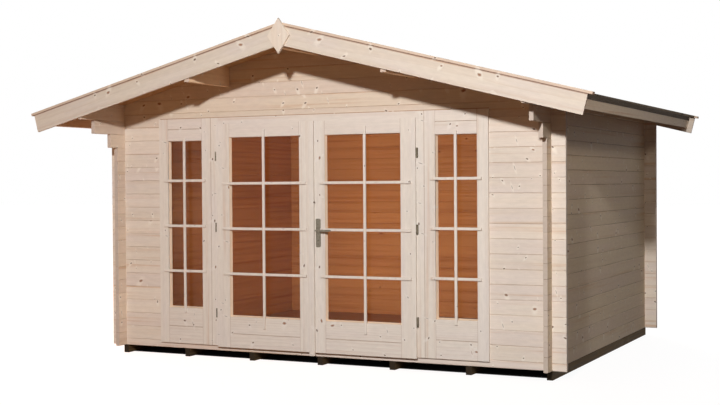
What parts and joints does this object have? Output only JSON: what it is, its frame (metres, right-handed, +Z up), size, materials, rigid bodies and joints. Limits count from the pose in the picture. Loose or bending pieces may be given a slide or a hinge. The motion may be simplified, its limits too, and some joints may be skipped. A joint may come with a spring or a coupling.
{
  "type": "holiday cabin",
  "caption": "Log holiday cabin with crossed corners, shallow gable roof, front overhang and an outward-opening glazed double door between sidelights.",
  "frame": {"origin": "bottom centre of the whole cabin's box, on the ground under the bearers", "axes": "+X to the right of someone facing the front, -Y out of the front, +Z up"},
  "size_m": [4.8244, 3.744, 2.7149],
  "materials": {
    "log_wood": "planed untreated spruce logs",
    "planed_wood": "planed untreated spruce",
    "trim_wood": "planed untreated spruce boards",
    "joinery_wood": "sanded untreated spruce joinery",
    "floor_boards": "planed floor boards",
    "treated_timber": "dark pressure-treated timber",
    "roof_felt": "sanded bitumen roofing felt",
    "clear_glass": "clear float glass",
    "hinge_steel": "dull zinc-plated steel",
    "handle_metal": "satin grey metal"
  },
  "bodies": {
    "cabin": {"back_wall": "log_wood", "door_head": "joinery_wood", "door_posts": "joinery_wood", "floor_bearers": "treated_timber", "floor_boards": "floor_boards", "frame_hinges": "hinge_steel", "front_finial": "trim_wood", "front_gable": "log_wood", "front_sill_log": "log_wood", "front_wall_left": "log_wood", "front_wall_right": "log_wood", "left_bargeboard_caps": "trim_wood", "left_bargeboards": "trim_wood", "left_bracket_log": "log_wood", "left_corbel_log": "log_wood", "left_eave_fascia": "trim_wood", "left_purlin": "planed_wood", "left_roof_boards": "planed_wood", "left_roof_felt": "roof_felt", "left_wall": "log_wood", "left_wall_plate": "log_wood", "ridge_purlin": "planed_wood", "right_bargeboard_caps": "trim_wood", "right_bargeboards": "trim_wood", "right_bracket_log": "log_wood", "right_corbel_log": "log_wood", "right_eave_fascia": "trim_wood", "right_purlin": "planed_wood", "right_roof_boards": "planed_wood", "right_roof_felt": "roof_felt", "right_wall": "log_wood", "right_wall_plate": "log_wood", "sidelight_glass": "clear_glass", "sidelight_rails": "joinery_wood", "sidelight_stiles": "joinery_wood"},
    "left_door": {"left_door_stiles": "joinery_wood", "left_door_rails": "joinery_wood", "left_door_glass": "clear_glass", "left_door_astragal": "joinery_wood", "left_door_hinges": "hinge_steel"},
    "right_door": {"right_door_stiles": "joinery_wood", "right_door_rails": "joinery_wood", "right_door_glass": "clear_glass", "right_door_hinges": "hinge_steel", "handle_plates": "handle_metal"},
    "handle": {"lever_handle": "handle_metal"}
  },
  "joints": [
    {"name": "left_door_hinge", "type": "hinge", "parent": "cabin", "child": "left_door", "pos_m": [-0.9505, -1.271, 0.106], "axis": [0, 0, -1], "range_deg": [0, 110]},
    {"name": "right_door_hinge", "type": "hinge", "parent": "cabin", "child": "right_door", "pos_m": [0.8745, -1.271, 0.106], "axis": [0, 0, 1], "range_deg": [0, 110]},
    {"name": "lever_pivot", "type": "hinge", "parent": "right_door", "child": "handle", "pos_m": [0.01825, -1.26, 1.0869], "axis": [0, 1, 0], "range_deg": [0, 40], "stiffness_Nm_per_rad": 1.5, "springref_deg": -20.05}
  ]
}
